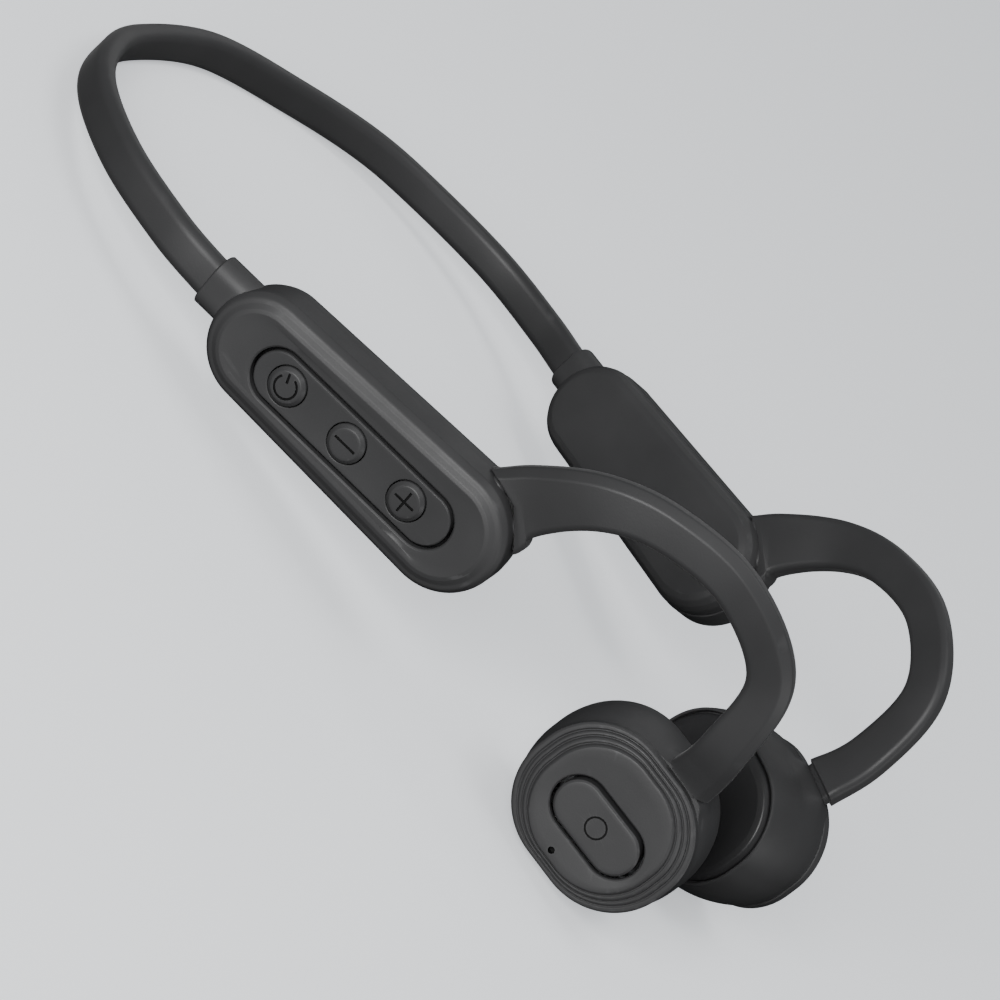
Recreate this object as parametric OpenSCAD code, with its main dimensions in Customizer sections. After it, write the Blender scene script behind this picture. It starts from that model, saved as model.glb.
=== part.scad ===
// Bone conduction headphones: a sprung neckband joins two arm pods, and an ear
// hook runs from each pod to a speaker that rests on the cheekbone.
//
// Frames. The set is drawn as it is worn and then laid on a table: +X is the
// wearer's right, +Y is forward and +Z is up. Each pod and each speaker is drawn
// flat in a plan frame of its own, where u is forward, v is up and w is outward,
// away from the head. The left half is the mirror image of the right half.

/* [Stance] */
// Front-up tilt of the worn set when it lies on a table, in degrees
rest_tilt = 14.0; // [12:0.1:16]
// Height of the middle of the pods above the table
rest_height = 14.9; // [13:0.05:17]
// Distance of the middle of the pods ahead of the middle of the footprint
rest_forward = 6.8; // [5:0.05:10]

/* [Arm pods] */
// Length of a pod
pod_len = 46; // [44:0.5:50]
// Height of a pod
pod_height = 15.8; // [15:0.1:17]
// Thickness of a pod
pod_thick = 9.7; // [9:0.1:11]
// Distance of a pod's middle from the middle of the head
pod_side = 45.1; // [43:0.1:50]
// Turn of a pod's front end towards the head, in degrees
pod_toe = 15.7; // [12:0.1:18]
// Downward lean of a pod's outer face, in degrees
pod_cant = 8.5; // [5:0.1:10]
// Height of the parting line above the middle of the pod's thickness
pod_part = -0.8; // [-1.2:0.1:0]
// Wall thickness of the pod shells
pod_wall = 1.0; // [0.8:0.1:1.2]

/* [Control keys] */
// Length of the opening for the key panel
panel_len = 32; // [31:0.5:34]
// Width of the opening for the key panel
panel_wid = 7.6; // [7.4:0.1:8]
// Gap around the key panel
panel_gap = 0.35; // [0.2:0.05:0.5]
// Shift of the key panel towards the front of the pod
panel_shift = 0.5; // [0:0.1:1]
// Drop of the key panel below the middle of the pod
panel_drop = 0.4; // [0:0.1:0.8]
// Distance between neighbouring keys
key_pitch = 9.95; // [9:0.05:10.5]
// Diameter of a key
key_dia = 5.0; // [4.5:0.1:5.4]
// Width of the ring groove around a key
key_gap = 0.15; // [0.1:0.05:0.25]
// How far a key can be pressed
key_travel = 0.4; // [0.2:0.05:0.45]

/* [Speakers] */
// Place of a speaker's rim, in the worn frame
speaker_at = [24.65, 48.7, -15.4];
// Turn of a speaker's outer face towards the front, in degrees
speaker_toe = 15.8; // [12:0.1:20]
// Downward lean of a speaker's outer face, in degrees
speaker_cant = 1.6; // [0:0.1:4]
// Turn of a speaker's outline in its own plane, in degrees
speaker_spin = -9; // [-12:0.5:0]
// Length of a speaker, from back to front
speaker_len = 23.8; // [22:0.1:25]
// Height of a speaker
speaker_height = 20.6; // [20:0.1:22]
// Corner radius of a speaker's outline
speaker_round = 9.6; // [9:0.05:9.9]
// Depth of the barrel behind the rim
barrel_depth = 14; // [13:0.1:15]
// Height of the cap's face above the rim
face_rise = 1.75; // [1.5:0.05:2]
// How far the driver's magnet can swing each way
driver_swing = 0.2; // [0.1:0.05:0.3]

/* [Multifunction button] */
// Length of the opening for the multifunction button
button_len = 14.3; // [13:0.1:15]
// Width of the opening for the multifunction button
button_wid = 7.6; // [7:0.1:8]
// Gap around the multifunction button
button_gap = 0.3; // [0.2:0.05:0.4]
// Place of the button on the speaker's face, forward and up
button_at = [0.45, -0.94];
// Turn of the button on the face, in degrees
button_turn = 0.6; // [-3:0.1:3]
// Place of the microphone hole on the speaker's face, forward and up
mic_at = [-0.67, -7.29];

/* [Ear hooks] */
// Width of a hook at the pod
hook_root_wid = 9.8; // [8:0.1:10.5]
// Width of a hook at the top of its arch
hook_arch_wid = 5.6; // [4.5:0.1:6]
// Width of a hook at the speaker
hook_tip_wid = 6.8; // [5:0.1:7]
// Thickness of a hook
hook_thick = 3.3; // [3:0.1:3.8]
// Place of a hook's root in the pod's plan frame, forward, up and outward
hook_root_at = [18.9, 5.8, -0.4];
// Angle of a hook's root above the pod's length, in degrees
hook_rake = 62.5; // [58:0.5:66]
// Gap between a hook and its anchor
hook_gap = 0.25; // [0.2:0.05:0.35]

/* [Neckband] */
// Height of the neckband strap
band_height = 5.5; // [5:0.1:6]
// Thickness of the neckband strap
band_thick = 3.2; // [3:0.1:3.6]
// Place of a collar in the pod's plan frame, up and outward
collar_at = [1.35, 0.5];
// Height of a collar
collar_height = 7.2; // [6.8:0.1:7.6]
// Thickness of a collar
collar_thick = 5.0; // [4.6:0.1:5.4]
// Distance of a collar's outer end from the middle of the pod
collar_reach = 26.4; // [25.5:0.1:27]

/* [Hidden] */

$fn = 64;
RIGHT = 1;
LEFT = -1;

pod_round = pod_height / 2;
pod_run = (pod_len - pod_height) / 2;
pod_face = pod_thick / 2;

speaker_run = [speaker_len / 2 - speaker_round, speaker_height / 2 - speaker_round];

hook_dir = [cos(hook_rake), sin(hook_rake)];
anchor_wid = hook_root_wid + 0.4;
anchor_thick = 4.2;
anchor_out = 1.5;
anchor_in = 3.2;

charcoal = [0.14, 0.14, 0.145];
rubber_black = [0.09, 0.09, 0.095];
board_green = [0.06, 0.25, 0.16];
chip_black = [0.05, 0.05, 0.05];
steel = [0.62, 0.63, 0.65];
gold = [0.83, 0.68, 0.32];
copper = [0.72, 0.43, 0.2];
foil = [0.75, 0.76, 0.78];
foam_grey = [0.3, 0.3, 0.32];

// ---- Frames ----

function spin_y(p, a) = [p.x * cos(a) + p.z * sin(a), p.y, -p.x * sin(a) + p.z * cos(a)];
function spin_z(p, a) = [p.x * cos(a) - p.y * sin(a), p.x * sin(a) + p.y * cos(a), p.z];

// A point given forward, up and outward in a plan frame, in the worn frame
function from_pod(p) =
  [pod_side, 0, 0] + spin_z(spin_y([p.z, p.x, p.y], pod_cant), pod_toe);
function from_speaker(p) =
  let (q = spin_z(p, speaker_spin))
  speaker_at + spin_z(spin_y([q.z, q.x, q.y], speaker_cant), speaker_toe);

module laid_on_table(side) {
  translate([0, rest_forward, rest_height])
    rotate([rest_tilt, 0, 0])
      mirror([side == LEFT ? 1 : 0, 0, 0])
        children();
}

module on_pod(side) {
  laid_on_table(side)
    translate([pod_side, 0, 0])
      rotate([0, pod_cant, pod_toe])
        rotate([90, 0, 90])
          children();
}

module on_speaker(side) {
  laid_on_table(side)
    translate(speaker_at)
      rotate([0, speaker_cant, speaker_toe])
        rotate([90, 0, 90])
          rotate([0, 0, speaker_spin])
            children();
}

// ---- Basic shapes ----

// Flat oval with straight long sides
module oval(len, wid) {
  square([len - wid, wid], center = true);
  for (s = [-1, 1]) translate([s * (len - wid) / 2, 0]) circle(d = wid);
}

// Rectangle with round corners
module soft_rect(len, wid, round) {
  square([len - 2 * round, wid], center = true);
  square([len, wid - 2 * round], center = true);
  for (su = [-1, 1]) for (sv = [-1, 1])
    translate([su * (len / 2 - round), sv * (wid / 2 - round)]) circle(r = round);
}

module slab(low, high) {
  translate([0, 0, low]) linear_extrude(high - low) children();
}

// Body with a flat oval outline: the half profile in children() turns around both
// ends and runs straight between them. Its X is the distance from the end centres
// and its Y is the depth.
module oval_body(run) {
  for (s = [-1, 1])
    translate([s * run, 0, 0]) rotate([0, 0, -90 * s]) rotate_extrude(angle = 180) children();
  rotate([90, 0, 90]) linear_extrude(2 * run, center = true) {
    children();
    mirror([1, 0]) children();
  }
}

// The same with a soft rectangular outline, without its middle block
module soft_rect_body(run) {
  for (q = [[1, 1, 0], [-1, 1, 90], [-1, -1, 180], [1, -1, 270]])
    translate([q[0] * run.x, q[1] * run.y, 0])
      rotate([0, 0, q[2]]) rotate_extrude(angle = 90) children();
  for (s = [0, 1]) {
    mirror([0, s, 0]) translate([0, run.y, 0])
      rotate([90, 0, 90]) linear_extrude(2 * run.x, center = true) children();
    mirror([s, 0, 0]) translate([run.x, 0, 0])
      rotate([90, 0, 0]) linear_extrude(2 * run.y, center = true) children();
  }
}

module middle_block(run, low, high) {
  translate([-run.x, -run.y, low]) cube([2 * run.x, 2 * run.y, high - low]);
}

// ---- Swept strips, wires and leads ----

// Point at s on the smooth curve through the points of P; the first and the last
// point only set the direction of the ends
function curve_at(P, s) =
  let (i = min(floor(s), len(P) - 4), t = s - i)
  0.5 * (2 * P[i + 1] + (P[i + 2] - P[i]) * t
    + (2 * P[i] - 5 * P[i + 1] + 4 * P[i + 2] - P[i + 3]) * t * t
    + (3 * P[i + 1] - P[i] - 3 * P[i + 2] + P[i + 3]) * t * t * t);
function curve_slope(P, s) =
  let (i = min(floor(s), len(P) - 4), t = s - i)
  0.5 * (P[i + 2] - P[i] + 2 * (2 * P[i] - 5 * P[i + 1] + 4 * P[i + 2] - P[i + 3]) * t
    + 3 * (3 * P[i + 1] - P[i] - 3 * P[i + 2] + P[i + 3]) * t * t);

function unit(v) = v / norm(v);

// Directions across the curve: flat side's normal first, then along the width
function across(P, s, normal) =
  let (t = unit(curve_slope(P, s)), n = unit(normal - (normal * t) * t))
  [n, cross(t, n)];

// Section points: a thickness by width rectangle with round corners
function soft_section(thick, wid, round, steps) = [
  for (c = [[1, 1, 0], [-1, 1, 90], [-1, -1, 180], [1, -1, 270]])
    for (k = [0:steps])
      let (a = c[2] + 90 * k / steps)
      [c[0] * (thick / 2 - round) + round * cos(a), c[1] * (wid / 2 - round) + round * sin(a)]
];

// One ring of points around the curve; sections are [thickness, width] pairs
function ring_at(P, s, normal, section, shift) =
  let (c = curve_at(P, s), d = across(P, s, normal))
  [for (q = section) c + (q.x + shift.x) * d[0] + (q.y + shift.y) * d[1]];

function skin(rows, cols, first, out) = [
  for (i = [0:rows - 2]) for (j = [0:cols - 1])
    let (a = first + i * cols + j, b = first + i * cols + (j + 1) % cols)
    each out ? [[a, a + cols, b + cols], [a, b + cols, b]]
             : [[a, b + cols, a + cols], [a, b, b + cols]]
];

module sweep(rings) {
  rows = len(rings);
  cols = len(rings[0]);
  last = (rows - 1) * cols;
  polyhedron([for (r = rings) each r],
    concat(skin(rows, cols, 0, true),
      [[for (j = [0:cols - 1]) j]],
      [[for (j = [cols - 1:-1:0]) last + j]]));
}

// Swept sleeve with a channel; both lists have as many rings and points
module sweep_sleeve(outer, inner) {
  rows = len(outer);
  cols = len(outer[0]);
  half = rows * cols;
  last = (rows - 1) * cols;
  polyhedron([for (r = concat(outer, inner)) each r],
    concat(skin(rows, cols, 0, true), skin(rows, cols, half, false),
      [for (j = [0:cols - 1]) let (k = (j + 1) % cols) each [
        [j, k, half + k], [j, half + k, half + j],
        [last + j, last + half + k, last + k], [last + j, last + half + j, last + half + k]
      ]]));
}

function steps(from, to, count) = [for (i = [0:count]) from + (to - from) * i / count];

// ---- Neckband ----

band_up = [0, 0.1, 1];
function collar_point(u) = from_pod([u, collar_at[0], collar_at[1]]);
function band_mirror(p) = [-p.x, p.y, p.z];
band_bend = [[54.5, -33.3, 1.8], [53.4, -45.0, 2.9], [46.7, -57.3, 4.0],
             [37.3, -65.3, 5.0], [22.3, -71.8, 5.4]];
band_rear = [0, -74.8, 6.4];
band_path = concat([collar_point(-14), collar_point(-19), collar_point(-24.6), collar_point(-27.6)],
  band_bend, [band_rear, band_mirror(band_bend[4])]);
band_sleeve_start = 1;
band_end = len(band_path) - 3;
channel = [1.6, 3.4];
wire_dia = 1.1;
wire_shift = 0.95;
cable_size = [1.1, 1.5];
cable_shift = -0.75;

function band_normal(s) = cross(band_up, curve_slope(band_path, s));
function band_rings(section, shift, from, count) = [
  for (s = steps(from, band_end, count)) ring_at(band_path, s, band_normal(s), section, shift)
];

module neckband_sleeve() {
  sweep_sleeve(
    band_rings(soft_section(band_thick, band_height, 1.45, 3), [0, 0], band_sleeve_start, 28),
    band_rings(soft_section(channel.x, channel.y, 0.4, 3), [0, 0], band_sleeve_start, 28));
}
module neckband_wire() {
  sweep(band_rings(soft_section(wire_dia, wire_dia, wire_dia / 2 - 0.01, 2), [0, wire_shift], 0, 30));
}
module neckband_cable() {
  sweep(band_rings(soft_section(cable_size.x, cable_size.y, 0.5, 2), [0, cable_shift], 0, 30));
}

// ---- Ear hooks ----

hook_out = [1, 0.28, -0.07];
hook_start = anchor_out + hook_gap;
boss_out = 0.85;
boss_angle = 87;
boss_depth = -2.1;
boss_size = [7.4, 3.6];
landing = 10;
function hook_root(s) =
  from_pod([hook_root_at.x + s * hook_dir.x, hook_root_at.y + s * hook_dir.y, hook_root_at.z]);
function boss_point(r) =
  from_speaker([speaker_run.x + r * cos(boss_angle), speaker_run.y + r * sin(boss_angle), boss_depth]);
hook_bend = [[40.4, 26.7, 15.2], [38.2, 34.0, 18.4], [33.5, 44.1, 18.6],
             [27.5, 52.9, 12.6], [24.9, 53.9, 1.8]];
boss_way = boss_point(0) - boss_point(1);
hook_path = concat([hook_root(hook_start - 5), hook_root(hook_start), hook_root(hook_start + 2.5)],
  hook_bend, [boss_point(speaker_round + boss_out), hook_bend[4] + landing * boss_way]);
hook_end = len(hook_path) - 3;
hook_rows = 44;

// Width of a hook along its path: widest at the root, narrowest at the arch
function hook_wid(s) =
  let (t = s / hook_end, low = 0.55)
  t < low ? hook_arch_wid + (hook_root_wid - hook_arch_wid) * pow(1 - t / low, 2)
          : hook_arch_wid + (hook_tip_wid - hook_arch_wid) * pow((t - low) / (1 - low), 2);

module ear_hook() {
  sweep_sleeve(
    [for (s = steps(0, hook_end, hook_rows))
      ring_at(hook_path, s, hook_out, soft_section(hook_thick, hook_wid(s), 1.2, 3), [0, 0])],
    [for (s = steps(0, hook_end, hook_rows))
      ring_at(hook_path, s, hook_out, soft_section(1.5, 3.3, 0.4, 3), [0, 0])]);
}
module hook_wire() {
  sweep([for (s = steps(0, hook_end, hook_rows))
    ring_at(hook_path, s, hook_out, soft_section(1.1, 1.1, 0.54, 2), [0, 0.9])]);
}
module hook_leads() {
  sweep([for (s = steps(0, hook_end, hook_rows))
    ring_at(hook_path, s, hook_out, soft_section(1.0, 1.5, 0.45, 2), [0, -0.75])]);
}

module anchor_block(grow = 0) {
  translate([hook_root_at.x, hook_root_at.y, hook_root_at.z])
    rotate([0, 0, hook_rake]) rotate([0, 90, 0])
      translate([0, 0, -anchor_in]) linear_extrude(anchor_in + anchor_out)
        soft_rect(anchor_thick + grow, anchor_wid + grow, 1.4);
}

module hook_anchor() {
  difference() {
    anchor_block();
    translate([hook_root_at.x, hook_root_at.y, hook_root_at.z])
      rotate([0, 0, hook_rake]) rotate([0, 90, 0])
        translate([0, 0, -anchor_in - 1]) linear_extrude(anchor_in + anchor_out + 2)
          soft_rect(1.6, 3.5, 0.4);
  }
}

// ---- Pods ----

module collar_block() {
  rotate([90, 0, 90])
    translate([collar_at[0], collar_at[1], -collar_reach])
      linear_extrude(collar_reach - 20.3) soft_rect(collar_height, collar_thick, 2.2);
}

module collar() {
  difference() {
    collar_block();
    rotate([90, 0, 90]) translate([collar_at[0], collar_at[1], -collar_reach - 1])
      linear_extrude(collar_reach - 24.4 + 1)
        soft_rect(band_height + 0.3, band_thick + 0.3, 1.5);
    rotate([90, 0, 90]) translate([collar_at[0], collar_at[1], -25])
      linear_extrude(6) soft_rect(3.8, 1.9, 0.4);
  }
}

module pod_cutters() {
  anchor_block();
  collar_block();
}

module pod_outer_shell() {
  difference() {
    oval_body(pod_run) polygon([
      [0, pod_face - 0.25], [5.0, pod_face - 0.25], [6.3, pod_face], [6.75, pod_face - 0.1],
      [7.4, pod_face - 1.15], [7.45, pod_face - 1.5], [pod_round, pod_face - 1.7],
      [pod_round, pod_part], [pod_round - pod_wall, pod_part], [pod_round - pod_wall, pod_face - 2.1],
      [6.0, pod_face - 1.3], [0, pod_face - 1.3]]);
    pod_cutters();
  }
}

module keyed_outer_shell() {
  difference() {
    pod_outer_shell();
    translate([panel_shift, -panel_drop, 0]) slab(0, pod_face + 1) oval(panel_len, panel_wid);
  }
}

seal_low = 0.7;
seal_inner = pod_round - 0.9;
seal_outer = pod_round - 0.5;
inner_round = pod_round - 0.15;
lip_outer = pod_round - 1.05;
lip_inner = pod_round - 1.65;
module pod_inner_shell() {
  difference() {
    oval_body(pod_run) polygon([
      [0, -pod_face], [5.7, -pod_face], [6.9, -pod_face + 0.45], [7.5, -pod_face + 1.35],
      [inner_round, -pod_face + 2.4], [inner_round, pod_part],
      [seal_outer, pod_part], [seal_outer, pod_part - seal_low],
      [seal_inner, pod_part - seal_low], [seal_inner, pod_part],
      [lip_outer, pod_part], [lip_outer, pod_part + 1.1], [lip_inner, pod_part + 1.1],
      [lip_inner, -pod_face + 1.6], [5.6, -pod_face + 1.1], [0, -pod_face + 1.1]]);
    pod_cutters();
  }
}

module pod_seal() {
  difference() {
    oval_body(pod_run) polygon([
      [seal_inner, pod_part - seal_low], [seal_outer, pod_part - seal_low],
      [seal_outer, pod_part], [seal_inner, pod_part]]);
    pod_cutters();
  }
}

// ---- Keys ----

panel_top = pod_face - 0.2;
panel_back = pod_face - 1.55;
flange_top = panel_back;
key_top = pod_face + 0.1;
key_pos = [-key_pitch, 0, key_pitch];
key_shift = -0.3;
key_foot = flange_top - 0.5 - 0.55;

module key_panel_shape() {
  difference() {
    translate([panel_shift, -panel_drop, 0]) {
      slab(panel_back - 0.5, panel_top) oval(panel_len - 2 * panel_gap, panel_wid - 2 * panel_gap);
      slab(panel_back - 0.5, panel_back) oval(panel_len + 1.2, panel_wid + 1.2);
    }
    for (u = key_pos) translate([u + key_shift, -panel_drop, 0]) {
      cylinder(d = key_dia + 2 * key_gap, h = pod_face + 1);
      cylinder(d = key_dia + 1.1, h = flange_top);
    }
  }
}

module key_panel_gasket_shape() {
  translate([panel_shift, -panel_drop, 0]) slab(panel_back, pod_face - 1.3) difference() {
    oval(panel_len + 1.2, panel_wid + 1.2);
    oval(panel_len + 0.2, panel_wid + 0.2);
  }
}

// A key with its flange under the panel and a short stem over its switch
module key(place) {
  translate([key_pos[place] + key_shift, -panel_drop, 0]) difference() {
    union() {
      slab(flange_top - 0.5, key_top - 0.25) circle(d = key_dia);
      slab(key_top - 0.25, key_top) circle(d = key_dia - 0.6);
      slab(flange_top - 0.5, flange_top - 0.03) circle(d = key_dia + 0.8);
      slab(key_foot, flange_top - 0.5) circle(d = 1.8);
    }
    translate([0, 0, key_top - 0.12]) linear_extrude(1) children();
  }
}

icon_line = 0.26;
module power_icon() {
  difference() {
    circle(d = 2.7);
    circle(d = 2.7 - 2 * icon_line);
    translate([0, 1.3]) square([1.1, 1.6], center = true);
  }
  translate([0, 1.05]) square([icon_line, 1.3], center = true);
}
module bar_icon() {
  square([2.5, icon_line], center = true);
}
module plus_icon() {
  bar_icon();
  rotate(90) bar_icon();
}

switch_top = key_foot - key_travel - 0.05;
key_board_top = switch_top - 0.95;
module key_switches_shape() {
  for (u = key_pos) translate([u + key_shift, -panel_drop, 0]) {
    slab(key_board_top, switch_top - 0.25) square([3, 3], center = true);
    slab(switch_top - 0.25, switch_top) circle(d = 1.4);
  }
}

module key_board_shape() {
  difference() {
    slab(key_board_top - 0.6, key_board_top) oval(36, 11.4);
    anchor_block(0.4);
  }
}

main_board_top = -1.7;
module main_board_shape() {
  difference() {
    slab(main_board_top - 0.8, main_board_top) oval(37, 11.6);
    anchor_block(0.4);
  }
}

// Radio chip, memory, crystal and charging chip, apart from each other
module main_board_chips_shape() {
  for (c = [[-10.5, 0.5, 4.5, 4.5, 0.8], [-4.6, 0.8, 3.2, 4, 0.7], [-0.6, 2.6, 2.2, 1.6, 0.6],
            [2.9, 0.6, 2.6, 2.6, 0.7], [6.6, -2.4, 2.2, 3, 0.6]])
    translate([c[0], c[1], 0])
      slab(main_board_top, main_board_top + c[4]) square([c[2], c[3]], center = true);
}

// Two gold contacts between two magnets on the side that faces the head
contact_pos = [-2.2, 2.2];
magnet_pos = [-6.6, 6.6];
contact_row = 0;
contact_floor = -pod_face + 0.1;
module charging_contacts_shape() {
  for (u = contact_pos) translate([u, contact_row, 0]) {
    slab(contact_floor, -pod_face + 1.1) circle(d = 1.8);
    slab(-pod_face + 1.1, main_board_top - 0.8) circle(d = 2.4);
  }
}
module charging_magnets_shape() {
  for (u = magnet_pos) translate([u, contact_row, 0])
    slab(-pod_face + 1.1, main_board_top - 0.9) circle(d = 3.8);
}

module charging_inner_shell() {
  difference() {
    pod_inner_shell();
    for (u = contact_pos) translate([u, contact_row, -pod_face - 1]) cylinder(d = 1.8, h = 3);
  }
}

// ---- Battery side ----

battery_size = [25, 10.6, 4.8];
battery_at = [-4.2, 0, -0.7];
module battery_shape() {
  translate(battery_at) rotate([90, 0, 90])
    linear_extrude(battery_size.x, center = true) soft_rect(battery_size.y, battery_size.z, 1.2);
}
module battery_board_shape() {
  translate([battery_at.x + battery_size.x / 2 + 0.1, -4.6, battery_at.z - 2]) cube([0.8, 6, 4]);
}
pad_low = -pod_face + 1.1;
module battery_pads_shape() {
  for (u = [-11, 3]) translate([u + battery_at.x + 4, 0, 0]) {
    slab(pad_low, battery_at.z - battery_size.z / 2) square([5, 7], center = true);
    slab(battery_at.z + battery_size.z / 2, pod_face - 1.3) square([5, 7], center = true);
  }
}

// ---- Speakers ----

rim = speaker_round;
cap_wall_low = 0.75;
module speaker_cap() {
  soft_rect_body(speaker_run) polygon([
    [0, face_rise], [rim - 3.0, face_rise], [rim - 2.1, face_rise + 0.15],
    [rim - 1.8, face_rise + 0.05], [rim - 1.65, face_rise - 0.2], [rim - 1.3, face_rise - 0.2],
    [rim - 1.1, 1.2], [rim - 0.8, 1.15], [rim - 0.6, 0.8], [rim - 0.5, 0.7],
    [rim - 0.15, 0.65], [rim, 0.45], [rim, -1], [rim - 0.4, -1], [rim - 0.4, -0.5],
    [rim - 0.75, -0.5], [rim - 0.75, -1], [rim - 1.05, -1], [rim - 1.05, -2.2],
    [rim - 1.7, -2.2], [rim - 1.7, 0.1], [rim - 2.2, cap_wall_low], [0, cap_wall_low]]);
  middle_block(speaker_run, cap_wall_low, face_rise);
}

module button_place() {
  translate([button_at.x, button_at.y, 0]) rotate([0, 0, button_turn]) children();
}

module button_cap() {
  difference() {
    speaker_cap();
    button_place() slab(0.2, face_rise + 1) oval(button_len, button_wid);
    translate([mic_at.x, mic_at.y, 0.2]) cylinder(d = 0.8, h = 3);
  }
}

module cap_seal() {
  soft_rect_body(speaker_run)
    polygon([[rim - 0.75, -1], [rim - 0.4, -1], [rim - 0.4, -0.5], [rim - 0.75, -0.5]]);
}

flange_low = -barrel_depth + 0.7;
flange_high = flange_low + 0.8;
module speaker_barrel() {
  difference() {
    union() {
      soft_rect_body(speaker_run) polygon([
        [rim - 0.15, -1], [rim, -1.5], [rim + 0.45, -4], [rim + 0.7, -7.5], [rim + 0.5, -11],
        [rim, -barrel_depth + 0.3], [rim - 0.2, -barrel_depth],
        [rim - 0.5, -barrel_depth], [rim - 0.5, flange_low], [rim - 2.0, flange_low],
        [rim - 2.0, flange_high], [rim - 1.0, flange_high], [rim - 1.0, -1]]);
      difference() {
        hook_boss(rim - 0.6, rim + boss_out, boss_size);
        slab(-1, 1) soft_rect(speaker_len + 0.4, speaker_height + 0.4, speaker_round + 0.2);
      }
    }
    hook_boss(rim - 3, rim + boss_out + 1, [3.5, 1.6]);
  }
}

// Block on the barrel where the hook lands
module hook_boss(low, high, size) {
  translate([speaker_run.x, speaker_run.y, boss_depth])
    rotate([0, 0, boss_angle]) rotate([0, 90, 0])
      translate([0, 0, low]) linear_extrude(high - low)
        soft_rect(size[1], size[0], min(size) / 4);
}

pad_face = -barrel_depth - 0.6;
module contact_pad() {
  soft_rect_body(speaker_run) polygon([
    [0, pad_face], [rim - 1.6, pad_face], [rim - 1.0, pad_face + 0.3],
    [rim - 0.75, pad_face + 0.7], [rim - 0.75, flange_low], [rim - 2.05, flange_low],
    [rim - 2.05, flange_high], [0, flange_high]]);
  middle_block(speaker_run, pad_face, flange_high);
}

plate_top = flange_high + 0.3;
module spring_plate() {
  slab(flange_high, plate_top) difference() {
    soft_rect(2 * (speaker_run.x + rim - 1.1), 2 * (speaker_run.y + rim - 1.1), rim - 1.1);
    for (a = [0:120:240]) rotate(a) translate([7.2, 0]) circle(d = 1.6);
  }
}

coil_top = plate_top + 2.4;
module voice_coil() {
  slab(plate_top, coil_top) difference() {
    circle(r = 5.6);
    circle(r = 4.6);
  }
}

yoke_top = -7.0;
yoke_floor = yoke_top - 1.2;
yoke_end = plate_top + 0.6;
module yoke() {
  slab(yoke_floor, yoke_top) circle(r = 7.6);
  slab(yoke_end, yoke_floor) difference() {
    circle(r = 7.6);
    circle(r = 6.3);
  }
}
module magnet() {
  slab(yoke_end, yoke_floor) circle(r = 4.0);
}

// ---- Multifunction button and microphone ----

button_top = face_rise + 0.35;
button_low = 0.1;
button_stem = -0.9;
module multifunction_button_shape() {
  button_place() difference() {
    union() {
      slab(button_low, button_top - 0.3) oval(button_len - 2 * button_gap, button_wid - 2 * button_gap);
      slab(button_top - 0.3, button_top)
        oval(button_len - 2 * button_gap - 0.8, button_wid - 2 * button_gap - 0.8);
      slab(button_low, 0.72) oval(button_len + 1, button_wid + 1);
      slab(button_stem, button_low) circle(d = 2.2);
    }
    translate([0, 0, button_top - 0.12]) linear_extrude(1) difference() {
      circle(d = 3);
      circle(d = 3 - 2 * icon_line);
    }
  }
}

button_switch_top = button_stem - key_travel - 0.1;
button_board_top = button_switch_top - 1.55;
module button_switch_shape() {
  button_place() {
    slab(button_board_top, button_switch_top - 0.35) square([4.2, 4.2], center = true);
    slab(button_switch_top - 0.35, button_switch_top) circle(d = 1.8);
  }
}
module button_board_shape() {
  button_place() slab(button_board_top - 0.6, button_board_top) square([13, 8.4], center = true);
}

module microphone_shape() {
  translate([mic_at.x, mic_at.y, 0])
    slab(-0.4, 0.55) square([2.6, 1.6], center = true);
}
module microphone_mesh_shape() {
  translate([mic_at.x, mic_at.y, 0]) slab(0.55, 0.75) circle(d = 1.4);
}

// ---- Sub-parts ----

module right_pod_outer_shell() {
  color(charcoal) on_pod(RIGHT) keyed_outer_shell();
}
module right_pod_inner_shell() {
  color(charcoal) on_pod(RIGHT) charging_inner_shell();
}
module right_pod_seal() {
  color(rubber_black) on_pod(RIGHT) pod_seal();
}
module right_collar() {
  color(charcoal) on_pod(RIGHT) collar();
}
module key_panel() {
  color(charcoal) on_pod(RIGHT) key_panel_shape();
}
module key_panel_gasket() {
  color(rubber_black) on_pod(RIGHT) key_panel_gasket_shape();
}
module key_power() {
  color(charcoal) on_pod(RIGHT) key(0) power_icon();
}
module key_volume_down() {
  color(charcoal) on_pod(RIGHT) key(1) bar_icon();
}
module key_volume_up() {
  color(charcoal) on_pod(RIGHT) key(2) plus_icon();
}
module key_switches() {
  color(steel) on_pod(RIGHT) key_switches_shape();
}
module key_board() {
  color(board_green) on_pod(RIGHT) key_board_shape();
}
module main_board() {
  color(board_green) on_pod(RIGHT) main_board_shape();
}
module main_board_chips() {
  color(chip_black) on_pod(RIGHT) main_board_chips_shape();
}
module charging_contacts() {
  color(gold) on_pod(RIGHT) charging_contacts_shape();
}
module charging_magnets() {
  color(steel) on_pod(RIGHT) charging_magnets_shape();
}
module left_pod_outer_shell() {
  color(charcoal) on_pod(LEFT) pod_outer_shell();
}
module left_pod_inner_shell() {
  color(charcoal) on_pod(LEFT) pod_inner_shell();
}
module left_pod_seal() {
  color(rubber_black) on_pod(LEFT) pod_seal();
}
module left_collar() {
  color(charcoal) on_pod(LEFT) collar();
}
module battery() {
  color(foil) on_pod(LEFT) battery_shape();
}
module battery_board() {
  color(board_green) on_pod(LEFT) battery_board_shape();
}
module battery_pads() {
  color(foam_grey) on_pod(LEFT) battery_pads_shape();
}
module neckband_sleeve_right() {
  color(rubber_black) laid_on_table(RIGHT) neckband_sleeve();
}
module neckband_sleeve_left() {
  color(rubber_black) laid_on_table(LEFT) neckband_sleeve();
}
module neckband_wire_right() {
  color(steel) laid_on_table(RIGHT) neckband_wire();
}
module neckband_wire_left() {
  color(steel) laid_on_table(LEFT) neckband_wire();
}
module neckband_cable_right() {
  color(copper) laid_on_table(RIGHT) neckband_cable();
}
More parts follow.
